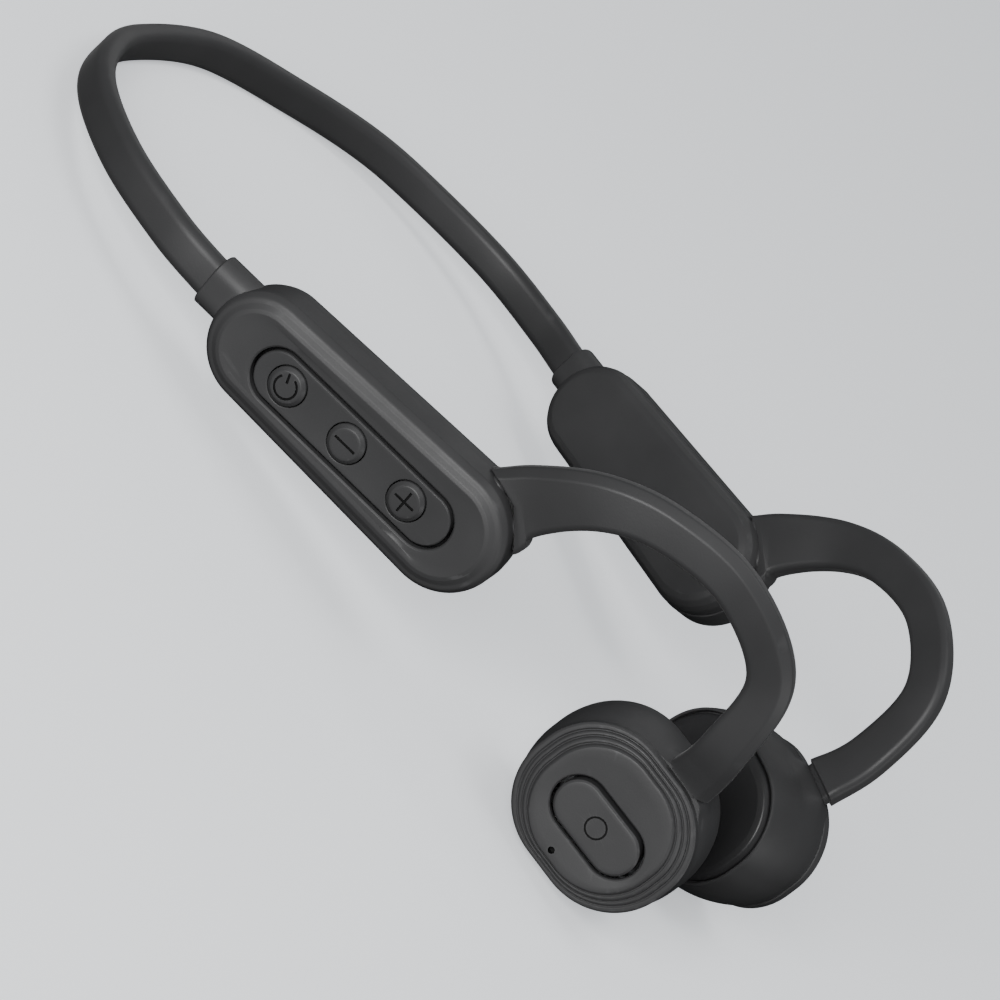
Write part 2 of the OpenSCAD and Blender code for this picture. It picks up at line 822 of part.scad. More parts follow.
module neckband_cable_left() {
  color(copper) laid_on_table(LEFT) neckband_cable();
}
module right_hook_anchor() {
  color(charcoal) on_pod(RIGHT) hook_anchor();
}
module right_ear_hook() {
  color(rubber_black) laid_on_table(RIGHT) ear_hook();
}
module right_hook_wire() {
  color(steel) laid_on_table(RIGHT) hook_wire();
}
module right_hook_leads() {
  color(copper) laid_on_table(RIGHT) hook_leads();
}
module left_hook_anchor() {
  color(charcoal) on_pod(LEFT) hook_anchor();
}
module left_ear_hook() {
  color(rubber_black) laid_on_table(LEFT) ear_hook();
}
module left_hook_wire() {
  color(steel) laid_on_table(LEFT) hook_wire();
}
module left_hook_leads() {
  color(copper) laid_on_table(LEFT) hook_leads();
}
module right_speaker_barrel() {
  color(charcoal) on_speaker(RIGHT) speaker_barrel();
}
module right_speaker_cap() {
  color(charcoal) on_speaker(RIGHT) button_cap();
}
module right_cap_seal() {
  color(rubber_black) on_speaker(RIGHT) cap_seal();
}
module right_contact_pad() {
  color(rubber_black) on_speaker(RIGHT) contact_pad();
}
module right_spring_plate() {
  color(steel) on_speaker(RIGHT) spring_plate();
}
module right_voice_coil() {
  color(copper) on_speaker(RIGHT) voice_coil();
}
module right_yoke() {
  color(steel) on_speaker(RIGHT) yoke();
}
module right_magnet() {
  color(steel) on_speaker(RIGHT) magnet();
}
module left_speaker_barrel() {
  color(charcoal) on_speaker(LEFT) speaker_barrel();
}
module left_speaker_cap() {
  color(charcoal) on_speaker(LEFT) speaker_cap();
}
module left_cap_seal() {
  color(rubber_black) on_speaker(LEFT) cap_seal();
}
module left_contact_pad() {
  color(rubber_black) on_speaker(LEFT) contact_pad();
}
module left_spring_plate() {
  color(steel) on_speaker(LEFT) spring_plate();
}
module left_voice_coil() {
  color(copper) on_speaker(LEFT) voice_coil();
}
module left_yoke() {
  color(steel) on_speaker(LEFT) yoke();
}
module left_magnet() {
  color(steel) on_speaker(LEFT) magnet();
}
module multifunction_button() {
  color(charcoal) on_speaker(RIGHT) multifunction_button_shape();
}
module button_switch() {
  color(steel) on_speaker(RIGHT) button_switch_shape();
}
module button_board() {
  color(board_green) on_speaker(RIGHT) button_board_shape();
}
module microphone() {
  color(gold) on_speaker(RIGHT) microphone_shape();
}
module microphone_mesh() {
  color(steel) on_speaker(RIGHT) microphone_mesh_shape();
}

// ---- The set ----

right_pod_outer_shell();
right_pod_inner_shell();
right_pod_seal();
right_collar();
key_panel();
key_panel_gasket();
key_power();
key_volume_down();
key_volume_up();
key_switches();
key_board();
main_board();
main_board_chips();
charging_contacts();
charging_magnets();
left_pod_outer_shell();
left_pod_inner_shell();
left_pod_seal();
left_collar();
battery();
battery_board();
battery_pads();
neckband_sleeve_right();
neckband_sleeve_left();
neckband_wire_right();
neckband_wire_left();
neckband_cable_right();
neckband_cable_left();
right_hook_anchor();
right_ear_hook();
right_hook_wire();
right_hook_leads();
left_hook_anchor();
left_ear_hook();
left_hook_wire();
left_hook_leads();
right_speaker_barrel();
right_speaker_cap();
right_cap_seal();
right_contact_pad();
right_spring_plate();
right_voice_coil();
right_yoke();
right_magnet();
left_speaker_barrel();
left_speaker_cap();
left_cap_seal();
left_contact_pad();
left_spring_plate();
left_voice_coil();
left_yoke();
left_magnet();
multifunction_button();
button_switch();
button_board();
microphone();
microphone_mesh();
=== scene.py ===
import math

import bmesh
import bpy
import numpy as np
from mathutils import Matrix, Vector
from mathutils.geometry import tessellate_polygon


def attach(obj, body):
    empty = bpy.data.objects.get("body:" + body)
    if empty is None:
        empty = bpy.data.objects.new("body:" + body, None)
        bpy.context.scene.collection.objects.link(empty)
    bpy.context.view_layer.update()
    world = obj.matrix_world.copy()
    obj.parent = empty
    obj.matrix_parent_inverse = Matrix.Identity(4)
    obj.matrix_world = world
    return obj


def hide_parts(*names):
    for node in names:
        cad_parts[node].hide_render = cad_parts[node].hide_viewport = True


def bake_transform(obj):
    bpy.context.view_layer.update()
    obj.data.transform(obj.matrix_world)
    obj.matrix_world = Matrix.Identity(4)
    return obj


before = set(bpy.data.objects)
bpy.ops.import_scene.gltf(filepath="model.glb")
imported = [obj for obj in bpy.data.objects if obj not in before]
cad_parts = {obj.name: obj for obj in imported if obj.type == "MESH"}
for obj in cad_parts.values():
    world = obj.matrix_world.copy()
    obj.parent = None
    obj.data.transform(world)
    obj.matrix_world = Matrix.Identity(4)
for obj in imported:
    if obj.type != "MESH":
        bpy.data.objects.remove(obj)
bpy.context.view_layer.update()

# ---------------------------------------------------------------- sizes, in millimetres
# The worn frame is the set's own, as worn: x to the right side, y forward, z up.
# A plan frame looks at a pod or a speaker from outside: forward, up and outward.
MM = 0.001
RIGHT, LEFT = 1, -1
SIDES = {"right": RIGHT, "left": LEFT}
SHARP = 34                    # degrees between faces above which an edge stays sharp

REST_TILT, REST_HEIGHT, REST_FORWARD = 14.0, 14.9, 6.8   # how the worn set lies on the table

POD_SIDE, POD_TOE, POD_CANT = 45.1, 15.7, 8.5
POD_FACE = 4.85               # outer face above the pod's middle plane
POD_PART = -0.8               # where the two shells meet
POD_FRONT = (14.9, 8.25)      # centre and radius of the front end
POD_REAR = (-15.6, 7.35)      # centre and radius of the rear end
POD_WALL = 1.0
CONTACT_PITCH, CONTACT_RADIUS = 4.4, 0.92

PANEL = {"len": 32.0, "wid": 7.6, "at": (0.5, -0.4)}
PANEL_GAP = 0.45
PANEL_TOP = POD_FACE - 0.25
KEY_PITCH, KEY_SHIFT, KEY_RADIUS, KEY_GROOVE = 9.95, -0.3, 2.5, 0.14
KEY_RISE = 0.55
KEY_TOP = PANEL_TOP + KEY_RISE
MARK_DEPTH, MARK_WIDTH = 0.24, 0.32
POWER_RING, POWER_BAR, POWER_BAR_OUT = (1.62, 1.32), 1.3, 1.15
POWER_TURN = 110              # degrees by which the power mark is turned from forward
MINUS_BAR, PLUS_BAR = 3.2, 3.0

SPEAKER_AT, SPEAKER_TOE, SPEAKER_CANT, SPEAKER_SPIN = (24.65, 48.7, -15.4), 15.8, 1.6, -9
RIM = 9.6                     # radius of the speaker outline's corners
RIM_RUN = (2.3, 0.7)          # how far their centres lie from the middle
STEP_NARROWING = 0.5          # how much faster the cap's steps close in along its length
FACE = 1.75                   # cap's face above the rim
BARREL = 14.0                 # barrel's depth below the rim
PAD_PROUD = 0.6
BUTTON = {"len": 14.3, "wid": 7.6, "at": (0.45, -0.94), "turn": 0.6}
BUTTON_GAP, BUTTON_RISE = 0.5, 0.42
RING_RADII, RING_DEPTH = (1.5, 1.24), 0.1
MIC_AT, MIC_RADIUS = (-0.67, -7.29), 0.45
OUTLINE_POINTS = 240          # points on each speaker outline, so that rings join one to one

HOOK_ROOT = (18.9, 5.8, -0.4)
HOOK_RAKE = 62.5              # degrees from forward at which the hook leaves the pod
HOOK_THICK = 3.3
HOOK_OUT = (1, 0.28, -0.07)   # way that the strip's broad face looks
HOOK_START = 1.75
HOOK_BEND = [(40.4, 26.7, 15.2), (38.2, 34.0, 18.4), (33.5, 44.1, 18.6), (27.5, 52.9, 12.6), (24.9, 53.9, 1.8)]
HOOK_ROOT_WIDTH, HOOK_ARCH_WIDTH, HOOK_TIP_WIDTH = 10.9, 5.6, 6.8
HOOK_NARROWEST = 0.55         # part of the hook's length at which it is narrowest
HOOK_RELAXING = 260           # rounds of smoothing along the hook
BOSS_ANGLE, BOSS_DEPTH, BOSS_OUT = 87, -2.1, 0.85
BOSS_LEAN = 0.35              # how far the landing leans outwards per depth, like the barrel
BOSS_HALF_WIDTH, BOSS_LOW, BOSS_FAIRING, BOSS_SEAM = 3.7, -3.7, 4.2, 0.22
TIP_SINK = 0.3                # how far the strip's end reaches into the landing
LANDING = 10
LIP_REACH, STRIP_REACH = 8.4, 8.62
LIP_THICK, LIP_WIDTH, LIP_ROUND, LIP_SHIFT = 3.9, 7.5, 1.15, 0.7
ROOT_FADE, END_FADE = 7.0, 4.0

COLLAR_AT, COLLAR_SIZE, COLLAR_ROUND = (1.35, 0.5), (7.2, 5.0), 2.2
BAND_UP = (0, 0.1, 1)
BAND_BEND = [(54.5, -33.3, 1.8), (53.4, -45.0, 2.9), (46.7, -57.3, 4.0), (37.3, -65.3, 5.0), (22.3, -71.8, 5.4)]
BAND_REAR = (0, -74.8, 6.4)
BAND_SIZE, BAND_ROUND, BAND_CROWN = (3.12, 5.44), 1.38, 0.02

# Inner strands: thickness, width, corner radius and points per corner, and the place in the strip.
SPRING_WIRE = (1.1, 1.1, 0.54, 5)
HOOK_WIRE_AT, BAND_WIRE_AT = (0, 0.9), (0, 0.95)
HOOK_LEADS, BAND_CABLE, LEADS_AT = (1.0, 1.5, 0.45, 5), (1.1, 1.5, 0.5, 5), (0, -0.75)


# ---------------------------------------------------------------- frames
def turn(axis, degrees):
    """Turning matrix about one axis."""
    return np.array(Matrix.Rotation(math.radians(degrees), 3, axis))


def from_plan(points, toe, cant, at):
    """Forward, up and outward in a plan frame, to the worn frame."""
    p = np.atleast_2d(np.asarray(points, float))
    return p[:, [2, 0, 1]] @ (turn("Z", toe) @ turn("Y", cant)).T + np.asarray(at)


def pod(points):
    return from_plan(points, POD_TOE, POD_CANT, (POD_SIDE, 0, 0))


def speaker(points):
    return from_plan(np.atleast_2d(points) @ turn("Z", SPEAKER_SPIN).T, SPEAKER_TOE, SPEAKER_CANT, SPEAKER_AT)


def worn(points):
    """Points that are in the worn frame already."""
    return np.atleast_2d(np.asarray(points, float))


def on_table(points, side):
    """Worn millimetres to metres in the frame, with the left side mirrored."""
    p = points * [side, 1, 1]
    return (p @ turn("X", REST_TILT).T + [0, REST_FORWARD, REST_HEIGHT]) * MM


# ---------------------------------------------------------------- outlines and profiles
CORNERS = [(1, 1, 0), (-1, 1, 90), (-1, -1, 180), (1, -1, 270)]   # side, side and first angle of each


def way(degrees):
    """Unit vector in a plan at an angle from forward."""
    return np.array([math.cos(math.radians(degrees)), math.sin(math.radians(degrees))])


def turned_by(points, degrees):
    c, s = way(degrees)
    return points @ np.array([[c, s], [-s, c]])


def unit(v):
    v = np.asarray(v, float)
    return v / np.linalg.norm(v, axis=-1, keepdims=True)


def two_circles(front, rear, inset=0.0, at=(0, 0), turned=0.0, arc=44, straight=14):
    """Outline around two circles on one line, each (place, radius), counter-clockwise."""
    span = front[0] - rear[0]
    lean = math.asin((front[1] - rear[1]) / span)
    top = math.pi / 2 + lean
    a = np.linspace(-top, top, arc)
    b = np.linspace(top, 2 * math.pi - top, arc)
    f = np.stack([front[0] + (front[1] - inset) * np.cos(a), (front[1] - inset) * np.sin(a)], 1)
    r = np.stack([rear[0] + (rear[1] - inset) * np.cos(b), (rear[1] - inset) * np.sin(b)], 1)
    t = np.linspace(0, 1, straight + 2)[1:-1, None]
    ring = np.vstack([f, f[-1] * (1 - t) + r[0] * t, r, r[-1] * (1 - t) + f[0] * t])
    return turned_by(ring, turned) + at


def oval(length, width, inset=0.0, **more):
    """Outline with two straight sides and two half-round ends."""
    run = (length - width) / 2
    return two_circles((run, width / 2), (-run, width / 2), inset, **more)


def soft_rect(run, radius, arc=26, straight=6):
    """Rectangle with round corners, whose corner centres are run away from the middle."""
    parts = []
    for su, sv, start in CORNERS:
        a = np.radians(np.linspace(start, start + 90, arc))
        parts.append(np.stack([su * run[0] + radius * np.cos(a), sv * run[1] + radius * np.sin(a)], 1))
    out = []
    for i, part in enumerate(parts):
        nxt = parts[(i + 1) % 4]
        t = np.linspace(0, 1, straight + 2)[1:-1, None]
        out += [part, part[-1] * (1 - t) + nxt[0] * t]
    return np.vstack(out)


def polar(ring, centre, count):
    """The same outline with its points at even angles around a centre."""
    rel = ring - centre
    angle = np.unwrap(np.arctan2(rel[:, 1], rel[:, 0]))
    dist = np.hypot(rel[:, 0], rel[:, 1])
    want = np.linspace(0, 2 * math.pi, count, endpoint=False)
    shifted = (want - angle[0]) % (2 * math.pi) + angle[0]
    angle = np.append(angle, angle[0] + 2 * math.pi)
    dist = np.append(dist, dist[0])
    d = np.interp(shifted, angle, dist)
    return np.stack([np.cos(want) * d, np.sin(want) * d], 1) + centre


def circle(radius, at=(0, 0), count=72):
    a = np.linspace(0, 2 * math.pi, count, endpoint=False)
    return np.stack([radius * np.cos(a), radius * np.sin(a)], 1) + at


def rounded(points, steps=5):
    """A polyline of (x, y) or (x, y, radius) points with its corners rounded."""
    pts = [np.array(p[:2], float) for p in points]
    out = [pts[0]]
    for i in range(1, len(pts) - 1):
        radius = points[i][2] if len(points[i]) > 2 else 0
        before, here, after = pts[i - 1], pts[i], pts[i + 1]
        to_a, to_b = unit(before - here), unit(after - here)
        angle = math.acos(float(np.clip(to_a @ to_b, -1, 1)))
        nearly_straight = angle > math.pi - 0.02
        if radius <= 0 or nearly_straight:
            out.append(here)
            continue
        reach = min(radius / math.tan(angle / 2), 0.48 * np.linalg.norm(before - here),
                    0.48 * np.linalg.norm(after - here))
        a, b = here + to_a * reach, here + to_b * reach
        middle = here + unit(to_a + to_b) * reach / math.cos(angle / 2)
        r = np.linalg.norm(a - middle)
        for t in np.linspace(0, 1, steps + 1):
            out.append(middle + unit((a - middle) * (1 - t) + (b - middle) * t) * r)
    out.append(pts[-1])
    return np.array(out)


def at_height(ring, w):
    """A plan outline as points at one height."""
    return np.column_stack([ring, np.full(len(ring), w)])


def at_heights(outline, profile):
    """Rings of an outline for a profile of (inset, height) points."""
    return [at_height(outline(inset), w) for inset, w in profile]


# ---------------------------------------------------------------- meshes
class Skin:
    """Vertices and faces of one closed piece, in a plan frame."""

    def __init__(self):
        self.verts, self.faces = [], []

    def ring(self, points):
        first = len(self.verts)
        self.verts += [tuple(p) for p in points]
        return list(range(first, first + len(points)))

    def join(self, a, b):
        n = len(a)
        for i in range(n):
            j = (i + 1) % n
            self.faces.append((a[i], a[j], b[j], b[i]))

    def loft(self, rings, closed=False):
        ids = [self.ring(r) for r in rings]
        for a, b in zip(ids, ids[1:]):
            self.join(a, b)
        if closed:
            self.join(ids[-1], ids[0])
        return ids

    def cap(self, ids, flip=False):
        self.faces.append(tuple(reversed(ids)) if flip else tuple(ids))

    def flat(self, outer, holes, flip=False):
        """Flat face inside one loop and outside the others."""
        loops = [outer] + holes
        order = [i for loop in loops for i in loop]
        for tri in tessellate_polygon([[Vector(self.verts[i]) for i in loop] for loop in loops]):
            a, b, c = (order[k] for k in tri)
            p, q, r = (np.array(self.verts[i]) for i in (a, b, c))
            up = np.cross(q - p, r - p)[2] > 0
            self.faces.append((a, b, c) if up != flip else (a, c, b))


def build(name, skin, side, place, body, material, replaced=()):
    """Object from a skin in a plan frame, on one side, riding a body and standing for CAD nodes."""
    points = on_table(place(np.array(skin.verts)), side)
    mesh = bpy.data.meshes.new(name)
    mesh.from_pydata(points.tolist(), [], skin.faces)
    work = bmesh.new()
    work.from_mesh(mesh)
    bmesh.ops.remove_doubles(work, verts=work.verts, dist=1e-7)
    bmesh.ops.recalc_face_normals(work, faces=work.faces)
    if work.calc_volume(signed=True) < 0:
        bmesh.ops.reverse_faces(work, faces=work.faces)
    work.to_mesh(mesh)
    work.free()
    mesh.materials.append(material)
    shade(mesh)
    obj = bpy.data.objects.new(name, mesh)
    bpy.context.scene.collection.objects.link(obj)
    if body:
        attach(obj, body)
    if replaced:
        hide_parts(*replaced)
    return obj


def shade(mesh):
    mesh.shade_smooth()
    mesh.set_sharp_from_angle(angle=math.radians(SHARP))


def carve(obj, tools):
    """Cuts the tools out of a piece, which keeps their dark material on the cut walls as painted shade, and removes
    them.
    """
    for tool in tools:
        m = obj.modifiers.new("cut", "BOOLEAN")
        m.operation, m.solver, m.material_mode, m.object = "DIFFERENCE", "EXACT", "TRANSFER", tool
    bpy.context.view_layer.update()
    cut = bpy.data.meshes.new_from_object(obj.evaluated_get(bpy.context.evaluated_depsgraph_get()))
    cut.name = obj.data.name + "_cut"
    obj.modifiers.clear()
    obj.data = cut
    for tool in tools:
        bpy.data.objects.remove(tool)
    shade(cut)


def prism(name, ring, low, high, side, place):
    """Straight cutting tool between two heights."""
    skin = Skin()
    ids = skin.loft([at_height(ring, low), at_height(ring, high)])
    skin.cap(ids[0], flip=True)
    skin.cap(ids[1])
    # The tool's dark material stays on the cut walls as painted shade.
    return build(name, skin, side, place, None, dark)


# ---------------------------------------------------------------- swept strips
def curve_at(points, s):
    """Places and slopes of a smooth curve that passes the inner points at 0, 1, 2 and so on."""
    p = np.asarray(points, float)
    i = np.minimum(np.floor(s).astype(int), len(p) - 4)
    t = (s - i)[:, None]
    a, b, c, d = p[i], p[i + 1], p[i + 2], p[i + 3]
    place = 0.5 * (2 * b + (c - a) * t + (2 * a - 5 * b + 4 * c - d) * t**2 + (3 * b - a - 3 * c + d) * t**3)
    slope = 0.5 * (c - a + 2 * (2 * a - 5 * b + 4 * c - d) * t + 3 * (3 * b - a - 3 * c + d) * t**2)
    return place, slope


def soft_section(thick, wide, radius, steps=7, crown=0.0):
    """Rectangle with round corners and slightly crowned faces, as (across, along) points."""
    out = []
    for su, sv, start in CORNERS:
        a = np.radians(np.linspace(start, start + 90, steps))
        out.append(np.stack([su * (thick / 2 - radius) + radius * np.cos(a),
                             sv * (wide / 2 - radius) + radius * np.sin(a)], 1))
    ring = np.vstack(out)
    ring[:, 0] *= 1 + crown * (1 - (ring[:, 1] / (wide / 2)) ** 2)
    return ring


def hook_section(thick, wide):
    """The same for the ear hook, with a bevel along the upper edge of the outward face."""
    x, y, corner = thick / 2, wide / 2, 0.95
    shape = [(x, 0), (x, y, corner), (-x, y, corner), (-x, -y, corner), (x - 1.0, -y, 0.6), (x, -y + 1.25, 0.7),
             (x, 0)]
    return rounded(shape, 6)[:-1]


def relaxed(place, rounds):
    """A line of points with its bends evened out, less so near its ends, which are kept."""
    near_end = 5.0
    travel = np.concatenate([[0], np.cumsum(np.linalg.norm(np.diff(place, axis=0), axis=1))])
    even = np.linspace(0, travel[-1], 4 * len(place))
    line = np.stack([np.interp(even, travel, place[:, k]) for k in range(3)], 1)
    hold = np.clip(np.minimum(even, travel[-1] - even) / near_end, 0, 1)[1:-1, None]
    for _ in range(rounds):
        line[1:-1] += 0.5 * hold * ((line[:-2] + line[2:]) / 2 - line[1:-1])
    return np.stack([np.interp(travel, even, line[:, k]) for k in range(3)], 1)


def strip_rings(points, s, normal, section, shift=(0, 0), rounds=0):
    """Rings of a section carried along a curve, with one face turned to the normal."""
    place, slope = curve_at(points, s)
    if rounds:
        ends = slope[[0, -1]]
        place = relaxed(place, rounds)
        slope = unit(np.gradient(place, axis=0))
        slope[[0, -1]] = unit(ends)
    along = unit(slope)
    n = normal(slope)
    n = unit(n - (n * along).sum(1, keepdims=True) * along)
    b = np.cross(along, n)
    rings = []
    for i in range(len(s)):
        q = section(s[i]) + shift
        rings.append(place[i] + q[:, :1] * n[i] + q[:, 1:] * b[i])
    return rings


def strip(rings):
    """Rings joined into a skin that is closed at both ends."""
    skin = Skin()
    ids = skin.loft(rings)
    skin.cap(ids[0], flip=True)
    skin.cap(ids[-1])
    return skin


# ---------------------------------------------------------------- materials
def nodes_of(name):
    """New material with its nodes, links and shader."""
    m = bpy.data.materials.new(name)
    m.use_nodes = True
    tree = m.node_tree
    return m, tree.nodes, tree.links, tree.nodes["Principled BSDF"]


def noise(nodes, links, where, scale, detail, low, high, rough=0.5):
    """Output of a noise texture stretched between two values."""
    n = nodes.new("ShaderNodeTexNoise")
    n.inputs["Scale"].default_value = scale
    n.inputs["Detail"].default_value = detail
    n.inputs["Roughness"].default_value = rough
    links.new(where, n.inputs["Vector"])
    r = nodes.new("ShaderNodeMapRange")
    r.inputs["From Min"].default_value = 0.3
    r.inputs["From Max"].default_value = 0.7
    r.inputs["To Min"].default_value = low
    r.inputs["To Max"].default_value = high
    links.new(n.outputs["Fac"], r.inputs["Value"])
    return r.outputs["Result"]


def tinted(nodes, links, where, color, scale, low, high):
    """Output of a colour that a noise darkens and lightens."""
    base = nodes.new("ShaderNodeRGB")
    base.outputs[0].default_value = (*color, 1)
    tint = nodes.new("ShaderNodeVectorMath")
    tint.operation = "SCALE"
    links.new(base.outputs[0], tint.inputs[0])
    links.new(noise(nodes, links, where, scale, 3, low, high), tint.inputs["Scale"])
    return tint.outputs[0]


def roughen(nodes, links, bsdf, height, strength, distance):
    """Bump from a height output."""
    bump = nodes.new("ShaderNodeBump")
    bump.inputs["Strength"].default_value = strength
    bump.inputs["Distance"].default_value = distance
    links.new(height, bump.inputs["Height"])
    links.new(bump.outputs["Normal"], bsdf.inputs["Normal"])


def moulded(name, color, roughness, grain, bump, worn_light=1.6, sheen=0.0, coat=0.0, gloss=0.45):
    """Moulded plastic or silicone: spark-eroded grain, uneven gloss, paler worn edges."""
    m, nodes, links, bsdf = nodes_of(name)
    where = nodes.new("ShaderNodeTexCoord").outputs["Object"]
    edge = nodes.new("ShaderNodeValToRGB")
    edge.color_ramp.elements[0].position = 0.52
    edge.color_ramp.elements[1].position = 0.64
    links.new(nodes.new("ShaderNodeNewGeometry").outputs["Pointiness"], edge.inputs["Fac"])
    patchy = nodes.new("ShaderNodeMath")
    patchy.operation = "MULTIPLY"
    links.new(edge.outputs["Color"], patchy.inputs[0])
    links.new(noise(nodes, links, where, 260, 4, 0.1, 0.9), patchy.inputs[1])
    mix = nodes.new("ShaderNodeMix")
    mix.data_type = "RGBA"
    links.new(patchy.outputs[0], mix.inputs["Factor"])
    links.new(tinted(nodes, links, where, color, 55, 0.86, 1.14), mix.inputs["A"])
    mix.inputs["B"].default_value = (*[c * worn_light for c in color], 1)
    links.new(mix.outputs["Result"], bsdf.inputs["Base Color"])
    links.new(noise(nodes, links, where, 90, 4, roughness - 0.05, roughness + 0.05), bsdf.inputs["Roughness"])
    fine = nodes.new("ShaderNodeTexNoise")
    fine.inputs["Scale"].default_value = grain
    fine.inputs["Detail"].default_value = 3
    links.new(where, fine.inputs["Vector"])
    roughen(nodes, links, bsdf, fine.outputs["Fac"], bump, 0.00003)
    bsdf.inputs["Specular IOR Level"].default_value = gloss
    bsdf.inputs["Sheen Weight"].default_value = sheen
    bsdf.inputs["Sheen Roughness"].default_value = 0.4
    bsdf.inputs["Coat Weight"].default_value = coat
    bsdf.inputs["Coat Roughness"].default_value = 0.25
    return m


def metal(name, color, roughness, stretch=(1, 1, 1), scale=900, bump=0.15):
    """Drawn or stamped metal with fine lines and a patchy polish."""
    m, nodes, links, bsdf = nodes_of(name)
    where = nodes.new("ShaderNodeTexCoord").outputs["Object"]
    mapping = nodes.new("ShaderNodeMapping")
    mapping.inputs["Scale"].default_value = stretch
    links.new(where, mapping.inputs["Vector"])
    lines = mapping.outputs["Vector"]
    links.new(tinted(nodes, links, lines, color, scale, 0.85, 1.1), bsdf.inputs["Base Color"])
    links.new(noise(nodes, links, where, 200, 3, roughness - 0.08, roughness + 0.1), bsdf.inputs["Roughness"])
    roughen(nodes, links, bsdf, noise(nodes, links, lines, scale, 2, 0, 1), bump, 0.00002)
    bsdf.inputs["Metallic"].default_value = 1.0
    return m


housing = moulded("housing_plastic", (0.043, 0.043, 0.044), 0.5, 5200, 0.35, gloss=0.32)
face_plastic = moulded("face_plastic", (0.041, 0.041, 0.042), 0.46, 5200, 0.3, gloss=0.34)
silicone = moulded("band_silicone", (0.036, 0.036, 0.037), 0.5, 3800, 0.35, worn_light=1.25, sheen=0.08, gloss=0.36)
pad_skin = moulded("pad_skin", (0.03, 0.03, 0.031), 0.4, 3000, 0.25, worn_light=1.3)
# Dark rubber for the gaskets and the mic mesh; the same dark is left on the walls of cut marks and holes as painted
# shade.
dark = moulded("seal_rubber_and_cut_shade", (0.006, 0.006, 0.006), 0.65, 2500, 0.3, worn_light=1.2, gloss=0.12)
mask_green = moulded("board_mask", (0.012, 0.09, 0.045), 0.3, 1800, 0.3, worn_light=1.5, coat=0.4)
epoxy = moulded("chip_epoxy", (0.012, 0.012, 0.013), 0.55, 6000, 0.5)
foam = moulded("foam_pad", (0.05, 0.05, 0.055), 0.9, 1500, 1.0)
steel = metal("drawn_steel", (0.56, 0.57, 0.59), 0.3, (1, 1, 6))
plating = metal("nickel_plate", (0.68, 0.67, 0.64), 0.2)
gold = metal("gold_plate", (0.82, 0.6, 0.24), 0.24)
copper = metal("lacquered_copper", (0.72, 0.36, 0.18), 0.32, (1, 1, 12), 1600, 0.4)
pouch = metal("pouch_foil", (0.66, 0.67, 0.69), 0.38, (1, 2, 1), 400, 0.5)


# ---------------------------------------------------------------- pods
def pod_outline(inset):
    return two_circles(POD_FRONT, POD_REAR, inset)


def panel_hole(grow):
    return oval(PANEL["len"], PANEL["wid"], -grow, at=PANEL["at"])


# Profiles are (inset from the outline, height, corner radius).
F = POD_FACE   # short, for the tables of heights
OUTER_SIDE = [(0.12, POD_PART), (0, POD_PART + 0.12, 0.05), (0, F - 1.75, 1.0), (0.62, F - 0.78, 0.8),
              (1.25, F - 0.58, 0.6), (1.9, F - 0.14, 0.5), (2.4, F, 0.5), (3.0, F - 0.05)]
OUTER_BACK = [(1.9, F - 1.3), (POD_WALL, F - 2.1), (POD_WALL, POD_PART)]
INNER_SIDE = [(2.4, -F + 0.02), (1.9, -F + 0.05, 0.6), (1.0, -F + 0.45, 0.8), (0.42, -F + 1.35, 0.9),
              (0.15, -F + 2.4, 1.2), (0.13, POD_PART - 0.14, 0.08), (0.25, POD_PART - 0.02)]


def pod_outer(side_name, side):
    """Outer shell: open for the key panel on the right, with a shallow dish on the left."""
    skin = Skin()
    outside = at_heights(pod_outline, rounded(OUTER_SIDE))
    back = at_heights(pod_outline, OUTER_BACK)
    if side == RIGHT:
        lip = rounded([(0.9, F - 0.12), (0.22, F - 0.14, 0.1), (0, F - 0.34, 0.1), (0, F - 1.3)], 4)
        hole = at_heights(panel_hole, lip)
        blend = [outside[-1] * (1 - t) + hole[0] * t for t in (0.35, 0.7)]
        skin.loft(outside + blend + hole + back, closed=True)
    else:
        dish = at_heights(pod_outline, [(4.0, F - 0.14), (5.2, F - 0.2), (6.4, F - 0.22)])
        ids = skin.loft(outside + dish)
        skin.cap(ids[-1])
        under = skin.loft([at_height(pod_outline(6.4), F - 1.3)] + back)
        skin.cap(under[0], flip=True)
        skin.join(under[-1], ids[0])
    build(f"{side_name}_pod_cover", skin, side, pod, f"{side_name}_arm", housing, [f"{side_name}_pod_outer_shell"])


def pod_inner(side_name, side):
    """Shell that faces the head, with two charging holes on the right."""
    skin = Skin()
    profile = [(6.2, -F), (3.2, -F), *rounded(INNER_SIDE), (1.65, POD_PART), (1.65, -F + 1.6), (2.3, -F + 1.1),
               (6.2, -F + 1.1)]
    ids = skin.loft(at_heights(pod_outline, profile))
    skin.cap(ids[0])
    skin.cap(ids[-1], flip=True)
    obj = build(f"{side_name}_pod_back", skin, side, pod, f"{side_name}_arm", housing,
                [f"{side_name}_pod_inner_shell"])
    if side == RIGHT:
        # The holes' walls take the dark material as painted shade.
        carve(obj, [prism("contact_hole", circle(CONTACT_RADIUS, (u, 0)), -F - 1, -F + 3, side, pod)
                    for u in (-CONTACT_PITCH / 2, CONTACT_PITCH / 2)])


def pod_gasket(side_name, side):
    skin = Skin()
    section = ((0.55, POD_PART - 0.6), (0.55, POD_PART), (0.95, POD_PART), (0.95, POD_PART - 0.6))
    skin.loft(at_heights(pod_outline, section), closed=True)
    build(f"{side_name}_pod_gasket", skin, side, pod, f"{side_name}_arm", dark, [f"{side_name}_pod_seal"])


